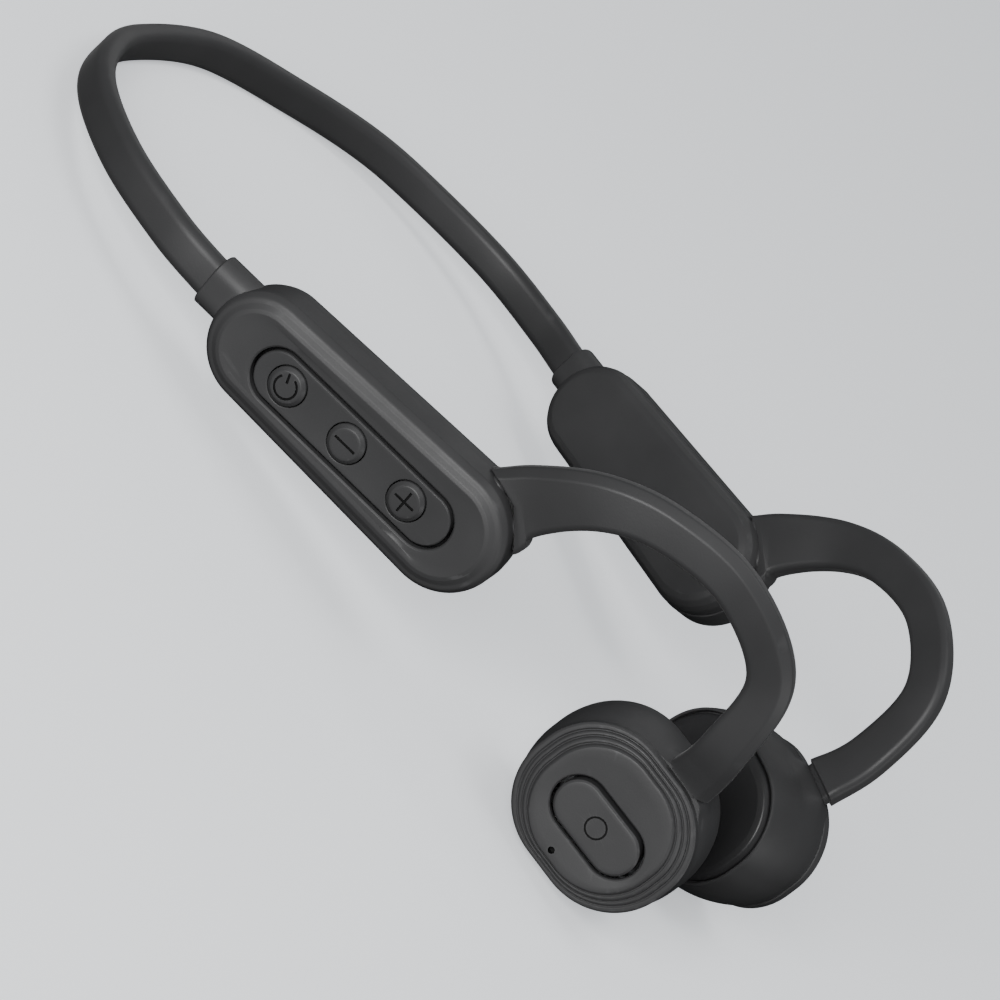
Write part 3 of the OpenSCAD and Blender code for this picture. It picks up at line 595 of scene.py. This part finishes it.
def collar(side_name, side):
    """Sleeve on the pod's rear end that the neckband comes out of."""
    def ring(grow, u):
        run = [size / 2 + grow - COLLAR_ROUND for size in COLLAR_SIZE]
        q = soft_rect(run, COLLAR_ROUND, 10, 4)
        return np.column_stack([np.full(len(q), u), q[:, 0] + COLLAR_AT[0], q[:, 1] + COLLAR_AT[1]])

    steps = rounded([(-0.95, -24.6), (-0.85, -26.32, 0.15), (-0.2, -26.4, 0.1), (0, -26.2, 0.15), (0, -20.2)], 4)
    skin = Skin()
    ids = skin.loft([ring(grow, u) for grow, u in steps])
    skin.cap(ids[0])
    skin.cap(ids[-1], flip=True)
    build(f"{side_name}_collar_sleeve", skin, side, pod, f"{side_name}_arm", housing, [f"{side_name}_collar"])


# ---------------------------------------------------------------- keys
def key_places():
    return [(k * KEY_PITCH + KEY_SHIFT, PANEL["at"][1]) for k in (-1, 0, 1)]


def key_panel():
    """Plate with three round holes, and the gasket under it."""
    skin = Skin()
    low = F - 1.6
    edge = rounded([(0, low), (0, PANEL_TOP - 0.16, 0.06), (0.16, PANEL_TOP, 0.08), (0.4, PANEL_TOP)], 4)
    ids = skin.loft(at_heights(lambda d: panel_hole(-PANEL_GAP - d), edge))
    tops, bottoms = [], []
    wall = rounded([(0.2, PANEL_TOP), (0, PANEL_TOP - 0.02, 0.09), (0, low)], 4)
    for at in key_places():
        hole = skin.loft([at_height(circle(KEY_RADIUS + KEY_GROOVE + g, at), w) for g, w in wall])
        tops.append(hole[0])
        bottoms.append(hole[-1])
    skin.flat(ids[-1], tops)
    skin.flat(ids[0], bottoms, flip=True)
    build("key_plate", skin, RIGHT, pod, "right_arm", face_plastic, ["key_panel"])
    gasket = Skin()
    section = ((0.6, F - 1.58), (0.6, F - 1.32), (0.1, F - 1.32), (0.1, F - 1.58))
    gasket.loft(at_heights(panel_hole, section), closed=True)
    build("key_plate_gasket", gasket, RIGHT, pod, "right_arm", dark, ["key_panel_gasket"])


def bar(length, width, at, degrees=0):
    """Rectangle of a mark on a key."""
    half = np.array([(-1, -1), (1, -1), (1, 1), (-1, 1)]) * [length / 2, width / 2]
    return turned_by(half, degrees) + at


def power_mark(at, degrees):
    """The power sign's ring, open at the angle given."""
    a = np.radians(np.linspace(35, 325, 40) + degrees)
    arc = np.stack([np.cos(a), np.sin(a)], 1)
    outer, inner = POWER_RING
    return np.vstack([arc * outer, arc[::-1] * inner]) + at


def key(name, node, place, marks):
    """Round key with its marks cut in; close rings on the flat keep its shading even."""
    skin = Skin()
    top = KEY_TOP
    flat = [(0.2 + 0.2 * i, top) for i in range(9)]
    profile = rounded(flat + [(KEY_RADIUS - 0.48, top - 0.03, 0.3), (KEY_RADIUS, top - 0.46, 0.25),
                              (KEY_RADIUS, F - 1.9)], 6)
    ids = skin.loft(at_heights(lambda r: circle(r, place), profile))
    skin.cap(ids[0])
    skin.cap(ids[-1], flip=True)
    obj = build(name, skin, RIGHT, pod, node, face_plastic, [node])
    # The marks' walls take the dark material as painted shade in the cuts.
    carve(obj, [prism("mark", ring, top - MARK_DEPTH, top + 1, RIGHT, pod) for ring in marks])


def keys():
    power, minus, plus = key_places()
    sign = [power_mark(power, POWER_TURN),
            bar(POWER_BAR, MARK_WIDTH, way(POWER_TURN) * POWER_BAR_OUT + power, POWER_TURN)]
    key("power_key", "key_power", power, sign)
    key("minus_key", "key_volume_down", minus, [bar(MINUS_BAR, MARK_WIDTH, minus)])
    key("plus_key", "key_volume_up", plus, [bar(PLUS_BAR, MARK_WIDTH, plus), bar(MARK_WIDTH, PLUS_BAR, plus)])


# ---------------------------------------------------------------- speakers
def rim_outline(inset, centre=(0, 0)):
    return polar(soft_rect(RIM_RUN, RIM - inset), np.array(centre), OUTLINE_POINTS)


def button_outline(inset):
    b = BUTTON
    ring = oval(b["len"], b["wid"], inset, at=b["at"], turned=b["turn"], arc=120, straight=60)
    return polar(ring, np.array(b["at"]), OUTLINE_POINTS)


def step_outline(inset, centre):
    """Outline of a step on the cap; the steps close in faster along the cap's length."""
    run = (RIM_RUN[0] - STEP_NARROWING * max(inset, 0), RIM_RUN[1])
    return polar(soft_rect(run, RIM - inset), np.array(centre), OUTLINE_POINTS)


CAP_SIDE = [(0.4, -0.98), (0.05, -0.96, 0.04), (0, -0.85, 0.06), (0, 0.34, 0.14), (0.2, 0.54, 0.12),
            (0.48, 0.58, 0.06), (0.6, 0.38, 0.05), (0.68, 0.4, 0.04), (0.74, 0.72, 0.06), (0.86, 0.86, 0.08),
            (1.02, 0.9, 0.06), (1.1, 0.7, 0.04), (1.18, 0.72, 0.04), (1.26, 1.12, 0.06), (1.42, 1.3, 0.08),
            (1.6, 1.34, 0.06), (1.68, 1.14, 0.04), (1.76, 1.16, 0.04), (1.86, 1.62, 0.08), (2.02, 1.84, 0.14),
            (2.3, FACE + 0.14)]


def speaker_cap(side_name, side):
    """Stepped cap: open for the button on the right, closed on the left."""
    skin = Skin()
    centre = BUTTON["at"] if side == RIGHT else (0, 0)
    outside = at_heights(lambda d: step_outline(d, centre), rounded(CAP_SIDE, 4))
    inner_side = [(2.2, 0.75), (1.7, 0.1), (1.7, -2.2), (1.05, -2.2), (1.05, -1)]
    inside = at_heights(lambda d: rim_outline(d, centre), inner_side)
    if side == RIGHT:
        lip = rounded([(-0.4, FACE + 0.02), (-0.18, FACE, 0.08), (0, FACE - 0.18, 0.08), (0, 0.75)], 4)
        hole = at_heights(button_outline, lip)
        blend = [outside[-1] * (1 - t) + hole[0] * t for t in (0.3, 0.6)]
        skin.loft(outside + blend + hole + inside, closed=True)
    else:
        top = at_heights(rim_outline, [(5.0, FACE + 0.08), (7.0, FACE + 0.1)])
        ids = skin.loft(outside + top)
        skin.cap(ids[-1])
        under = skin.loft([at_height(rim_outline(7.0), 0.75)] + inside)
        skin.cap(under[0], flip=True)
        skin.join(under[-1], ids[0])
    obj = build(f"{side_name}_cap_moulding", skin, side, speaker, f"{side_name}_speaker", housing,
                [f"{side_name}_speaker_cap"])
    if side == RIGHT:
        # The hole's walls take the dark material as painted shade.
        carve(obj, [prism("mic_hole", circle(MIC_RADIUS, MIC_AT, 32), -0.5, 4, side, speaker)])


def button():
    """Oval button with a fine ring cut into its face."""
    skin = Skin()
    top = FACE + BUTTON_RISE
    flat = [(3.2 - 0.26 * i, top) for i in range(11)]
    profile = rounded(flat + [(0.28, top - 0.03, 0.2), (0, top - 0.26, 0.14), (0, 0.0)], 6)
    ids = skin.loft(at_heights(lambda d: button_outline(BUTTON_GAP + d), profile))
    skin.cap(ids[0])
    skin.cap(ids[-1], flip=True)
    obj = build("call_button", skin, RIGHT, speaker, "multifunction_button", face_plastic, ["multifunction_button"])
    tool = Skin()
    outer, inner = RING_RADII
    low, high = top - RING_DEPTH, top + 1
    section = [(outer, low), (outer, high), (inner, high), (inner, low)]
    tool.loft(at_heights(lambda r: circle(r, BUTTON["at"]), section), closed=True)
    # The ring's walls take the dark material as painted shade in the groove.
    carve(obj, [build("ring_mark", tool, RIGHT, speaker, None, dark)])


BOSS_WAY = way(BOSS_ANGLE)


def with_boss(ring, w):
    """The ring with the landing for the hook drawn out of it, faired towards the pad."""
    rel = ring - np.array(RIM_RUN)
    across = np.abs(rel @ np.array([-BOSS_WAY[1], BOSS_WAY[0]]))
    ahead = rel @ BOSS_WAY
    beside = 1 / (1 + (across / BOSS_HALF_WIDTH) ** 9)
    t = np.clip((BOSS_LOW - w) / BOSS_FAIRING, 0, 1)
    below = (1 - t) ** 2 * (1 + 2 * t)
    wall = RIM + BOSS_OUT - BOSS_SEAM - BOSS_LEAN * (max(w, BOSS_LOW) - BOSS_DEPTH)
    rise = beside * below * np.maximum(wall - ahead, 0) * (ahead > 0)
    return ring + rise[:, None] * BOSS_WAY


def speaker_barrel(side_name, side):
    """Waisted barrel from the rim to the pad, with the landing for the hook."""
    skin = Skin()
    swell = np.array([(0.35, 0.8, 0), (0.06, -1.25, 0), (-0.45, -4, 0), (-0.7, -7.5, 0), (-0.5, -11, 0),
                      (-0.04, -BARREL + 0.3, 0), (0.7, -BARREL - 2.4, 0)])
    flank = curve_at(swell, np.linspace(0, len(swell) - 3, 56))[0][:, :2]
    dense = [(1.0, -1.0), (0.25, -1.0), (0.12, -1.06), *flank, (0.03, -BARREL + 0.1), (0.15, -BARREL),
             (0.32, -BARREL), (0.4, -BARREL + 0.08), (0.45, -BARREL + 0.9)]
    rings = []
    for d, w in dense:
        ring = rim_outline(d)
        rings.append(at_height(with_boss(ring, w) if d < 0.5 else ring, w))
    inside = at_heights(rim_outline, [(1.0, -BARREL + 0.9), (1.0, -1.2)])
    skin.loft(rings + inside, closed=True)
    build(f"{side_name}_barrel_moulding", skin, side, speaker, f"{side_name}_speaker", housing,
          [f"{side_name}_speaker_barrel"])


def speaker_small_parts(side_name, side):
    """Gasket under the cap, and the crowned pad that touches the cheek."""
    seal = Skin()
    seal.loft(at_heights(rim_outline, [(0.4, -1), (0.4, -0.5), (0.75, -0.5), (0.75, -1)]), closed=True)
    build(f"{side_name}_cap_gasket", seal, side, speaker, f"{side_name}_speaker", dark, [f"{side_name}_cap_seal"])
    face = -BARREL - PAD_PROUD
    profile = rounded([(6.5, face), (2.0, face, 0.6), (1.15, face + 0.2, 0.5), (0.72, face + 0.75, 0.25),
                       (0.72, -BARREL + 0.9)], 6)
    back = [(2.05, -BARREL + 1.5), (6.5, -BARREL + 1.5)]
    pad = Skin()
    ids = pad.loft(at_heights(rim_outline, [*profile, *back]))
    pad.cap(ids[0], flip=True)
    pad.cap(ids[-1])
    build(f"{side_name}_cheek_pad", pad, side, speaker, f"{side_name}_speaker", pad_skin, [f"{side_name}_contact_pad"])


# ---------------------------------------------------------------- hooks
RAKE = np.array([*way(HOOK_RAKE), 0])


def onto_round(points, reach):
    """Plan points moved along the hook's rake onto a round wall about the pod's front end."""
    rel = points[:, :2] - [POD_FRONT[0], 0]
    b = rel @ RAKE[:2]
    return points + (np.sqrt(b**2 + reach**2 - (rel**2).sum(1)) - b)[:, None] * RAKE


def hook_points():
    """Line of the hook, from inside the pod's lip to inside the landing."""
    root = [pod([np.array(HOOK_ROOT) + RAKE * s])[0] for s in (HOOK_START - 5, HOOK_START, HOOK_START + 2.5)]
    at = np.array([*RIM_RUN, BOSS_DEPTH]) + (RIM + BOSS_OUT) * np.array([*BOSS_WAY, 0])
    inward = (speaker([[0, 0, 0]]) - speaker([[*BOSS_WAY, 0]]))[0]
    bend = [np.array(p) for p in HOOK_BEND]
    return root + bend + [speaker([at])[0], bend[-1] + LANDING * inward]


def hook_width(t):
    """Width at a part of the hook's length: widest at the root, narrowest past the arch."""
    if t < HOOK_NARROWEST:
        return HOOK_ARCH_WIDTH + (HOOK_ROOT_WIDTH - HOOK_ARCH_WIDTH) * (1 - t / HOOK_NARROWEST) ** 2
    return HOOK_ARCH_WIDTH + (HOOK_TIP_WIDTH - HOOK_ARCH_WIDTH) * ((t - HOOK_NARROWEST) / (1 - HOOK_NARROWEST)) ** 2


def ear_hook(side_name, side):
    """Rubber strip with its wire and leads, fitted to the round lip and to the barrel's landing."""
    points = hook_points()
    end = len(points) - 3
    s = np.concatenate([[0, 0.015, 0.04], np.linspace(0.08, end - 0.12, 150), [end - 0.075, end - 0.055, end]])

    def section(t):
        shrink = 0.12 * math.exp(-t * 40) + (0.4 if t > end - 0.06 else 0.0)
        return hook_section(HOOK_THICK - 2 * shrink, hook_width(t / end) - 2 * shrink)

    def normal(slope):
        return np.broadcast_to(np.array(HOOK_OUT), slope.shape).astype(float)

    rings = strip_rings(points, s, normal, section, rounds=HOOK_RELAXING)
    to_plan = np.linalg.inv(turn("Z", POD_TOE) @ turn("Y", POD_CANT))
    first = ((rings[0] - [POD_SIDE, 0, 0]) @ to_plan.T)[:, [1, 2, 0]]
    skew = pod(onto_round(first, STRIP_REACH)) - rings[0]
    travel = np.linalg.norm(np.array([r.mean(0) for r in rings]) - rings[0].mean(0), axis=1)
    for i, far in enumerate(travel):
        fade = max(1 - far / ROOT_FADE, 0)
        rings[i] = rings[i] + skew * fade * fade
    out_of_face = (speaker([[0, 0, 1]]) - speaker([[0, 0, 0]]))[0]
    inward = unit(points[-1] - points[-3])
    landed = points[-2]
    for i, ring in enumerate(rings):
        near = max(1 - np.linalg.norm(ring.mean(0) - landed) / END_FADE, 0)
        rings[i] = ring + (near * BOSS_LEAN * ((ring - landed) @ out_of_face))[:, None] * inward
    rings[-1] = rings[-1] + (BOSS_SEAM + TIP_SINK) * inward
    wire = strip_rings(points, s, normal, lambda t: soft_section(*SPRING_WIRE), HOOK_WIRE_AT, HOOK_RELAXING)
    leads = strip_rings(points, s, normal, lambda t: soft_section(*HOOK_LEADS), LEADS_AT, HOOK_RELAXING)
    pieces = [("hook_strip", rings, silicone, "ear_hook"), ("hook_spring_wire", wire, steel, "hook_wire"),
              ("hook_lead_pair", leads, copper, "hook_leads")]
    for name, piece_rings, material, node in pieces:
        obj = build(f"{side_name}_{name}", strip(piece_rings), side, worn, None, material, [f"{side_name}_{node}"])
        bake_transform(obj)


def hook_lip(side_name, side):
    """The moulded lip on the pod that the hook grows from, rounded like the pod's end."""
    wide = np.array([-RAKE[1], RAKE[0], 0])
    in_shell = [(-3.4, 0, 0), (-2.0, 0, 0)]
    at_end = [(LIP_REACH - 0.16, 0, 0), (LIP_REACH - 0.05, 0.1, 0.1), (LIP_REACH, 0.35, 0.3), (LIP_REACH, 1.3, 1.2)]
    rings = []
    for at, thinner, narrower in in_shell + at_end:
        q = soft_section(LIP_THICK - thinner, LIP_WIDTH - narrower, LIP_ROUND, 8)
        ring = np.array(HOOK_ROOT) + q[:, :1] * np.array([0, 0, 1]) + (q[:, 1:] + LIP_SHIFT) * wide
        rings.append(ring + RAKE * at if at < 0 else onto_round(ring, at))
    build(f"{side_name}_hook_lip", strip(rings), side, pod, f"{side_name}_arm", housing, [f"{side_name}_hook_anchor"])


# ---------------------------------------------------------------- neckband
def band_points():
    """Line of the neckband, from inside one pod, behind the neck, to inside the other."""
    collar_at = [pod([(u, *COLLAR_AT)])[0] for u in (-14, -19, -24.6, -27.6)]
    half = collar_at + [np.array(p, float) for p in BAND_BEND] + [np.array(BAND_REAR, float)]
    other = [p * [-1, 1, 1] for p in reversed(half[:-1])]
    return half + other


def neckband():
    """Strap, spring wire and cable, each in one piece across the hinge behind the neck."""
    points = band_points()
    end = len(points) - 3

    def normal(slope):
        return np.cross(np.array(BAND_UP, float), slope)

    strap = strip_rings(points, np.linspace(1.0, end - 1.0, 260), normal,
                        lambda t: soft_section(*BAND_SIZE, BAND_ROUND, 9, BAND_CROWN))
    whole = np.linspace(0, end, 150)
    wire = strip_rings(points, whole, normal, lambda t: soft_section(*SPRING_WIRE), BAND_WIRE_AT)
    cable = strip_rings(points, whole, normal, lambda t: soft_section(*BAND_CABLE), LEADS_AT)
    pieces = [("neckband_strap", strap, silicone, "neckband_sleeve"),
              ("neckband_spring_wire", wire, steel, "neckband_wire"),
              ("neckband_lead", cable, copper, "neckband_cable")]
    for name, rings, material, node in pieces:
        obj = build(name, strip(rings), RIGHT, worn, None, material, [f"{node}_right", f"{node}_left"])
        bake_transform(obj)


# ---------------------------------------------------------------- the set
for side_name, side in SIDES.items():
    pod_outer(side_name, side)
    pod_inner(side_name, side)
    pod_gasket(side_name, side)
    collar(side_name, side)
    hook_lip(side_name, side)
    speaker_cap(side_name, side)
    speaker_barrel(side_name, side)
    speaker_small_parts(side_name, side)
    ear_hook(side_name, side)
neckband()
key_panel()
button()
keys()

finishes = {
    steel: ["key_switches", "button_switch", "right_spring_plate", "left_spring_plate", "right_yoke", "left_yoke"],
    dark: ["microphone_mesh"],
    plating: ["right_magnet", "left_magnet", "charging_magnets"],
    gold: ["charging_contacts", "microphone"],
    mask_green: ["main_board", "battery_board"],
    epoxy: ["main_board_chips", "key_board", "button_board"],
    copper: ["right_voice_coil", "left_voice_coil"],
    pouch: ["battery"],
    foam: ["battery_pads"],
}
for material, names in finishes.items():
    for name in names:
        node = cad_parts[name]
        node.data.materials.clear()
        node.data.materials.append(material)


# ---------------------------------------------------------------- stage, light and camera
FLOOR_SIZE, FLOOR_GLOW = 6, 0.62
ROOM_BRIGHTNESS = 0.32

# Name, place, point aimed at, and size, in metres, and power in watts.
LIGHTS = [
    ("window_side", (0.84, 0.1, 0.3), (0, 0.01, 0.02), (0.4, 0.4), 10),
    ("behind", (-0.62, -0.34, 0.4), (0, 0, 0.02), (0.5, 0.3), 0.35),
    ("overhead", (-0.05, 0.1, 0.75), (0, 0, 0.02), (0.4, 0.4), 1.3),
    ("low_fill", (-0.05, 0.72, 0.16), (0, 0.03, 0.02), (0.5, 0.25), 1.0),
]

# The camera in the worn frame, in millimetres.
CAMERA_AT = (496.7, 194.9, 132.6)
CAMERA_FORWARD, CAMERA_UP = (-0.9015, -0.3542, -0.2485), (0.077, -0.6965, 0.7135)
CAMERA_LENS, CAMERA_SENSOR, CAMERA_SHIFT = 151.95, 36, (0.0015, -0.012)


def stage():
    """Pale paper floor with a faint glow, so that it stays light under soft lamps."""
    bpy.ops.mesh.primitive_plane_add(size=FLOOR_SIZE)
    floor = bpy.context.object
    floor.name = "floor"
    m, nodes, links, bsdf = nodes_of("paper_floor")
    bsdf.inputs["Base Color"].default_value = (0.9, 0.92, 0.94, 1)
    bsdf.inputs["Roughness"].default_value = 0.85
    bsdf.inputs["Emission Color"].default_value = (0.9, 0.93, 0.97, 1)
    bsdf.inputs["Emission Strength"].default_value = FLOOR_GLOW
    floor.data.materials.append(m)
    floor.visible_diffuse = floor.visible_glossy = False


def area(name, at, target, size, power):
    """Soft rectangular lamp that looks at a point."""
    data = bpy.data.lights.new(name, "AREA")
    data.shape = "RECTANGLE"
    data.size, data.size_y = size
    data.energy = power
    obj = bpy.data.objects.new(name, data)
    bpy.context.scene.collection.objects.link(obj)
    obj.location = at
    obj.rotation_euler = (Vector(target) - Vector(at)).to_track_quat("-Z", "Y").to_euler()


def surround():
    """Pale room overhead that falls off to a dim one below."""
    world = bpy.data.worlds.new("studio")
    bpy.context.scene.world = world
    world.use_nodes = True
    nodes, links = world.node_tree.nodes, world.node_tree.links
    split = nodes.new("ShaderNodeSeparateXYZ")
    links.new(nodes.new("ShaderNodeTexCoord").outputs["Generated"], split.inputs[0])
    height = nodes.new("ShaderNodeMapRange")
    height.inputs["From Min"].default_value = -1
    links.new(split.outputs["Z"], height.inputs["Value"])
    ramp = nodes.new("ShaderNodeValToRGB")
    links.new(height.outputs["Result"], ramp.inputs["Fac"])
    below, above = ramp.color_ramp.elements
    below.position, below.color = 0.35, (0.06, 0.065, 0.07, 1)
    above.position, above.color = 0.95, (0.5, 0.52, 0.55, 1)
    links.new(ramp.outputs["Color"], nodes["Background"].inputs["Color"])
    nodes["Background"].inputs["Strength"].default_value = ROOM_BRIGHTNESS


def camera():
    """The photo's view of the set, carried from the worn frame to the table."""
    forward = unit(CAMERA_FORWARD)
    right = unit(np.cross(forward, CAMERA_UP))
    up = np.cross(right, forward)
    basis = turn("X", REST_TILT) @ np.column_stack([right, up, -forward])
    data = bpy.data.cameras.new("view")
    data.lens, data.sensor_width = CAMERA_LENS, CAMERA_SENSOR
    data.shift_x, data.shift_y = CAMERA_SHIFT
    obj = bpy.data.objects.new("view", data)
    bpy.context.scene.collection.objects.link(obj)
    place = Matrix(basis.tolist()).to_4x4()
    place.translation = Vector(on_table(np.array([CAMERA_AT]), RIGHT)[0])
    obj.matrix_world = place
    bpy.context.scene.camera = obj


stage()
for light in LIGHTS:
    area(*light)
surround()
camera()
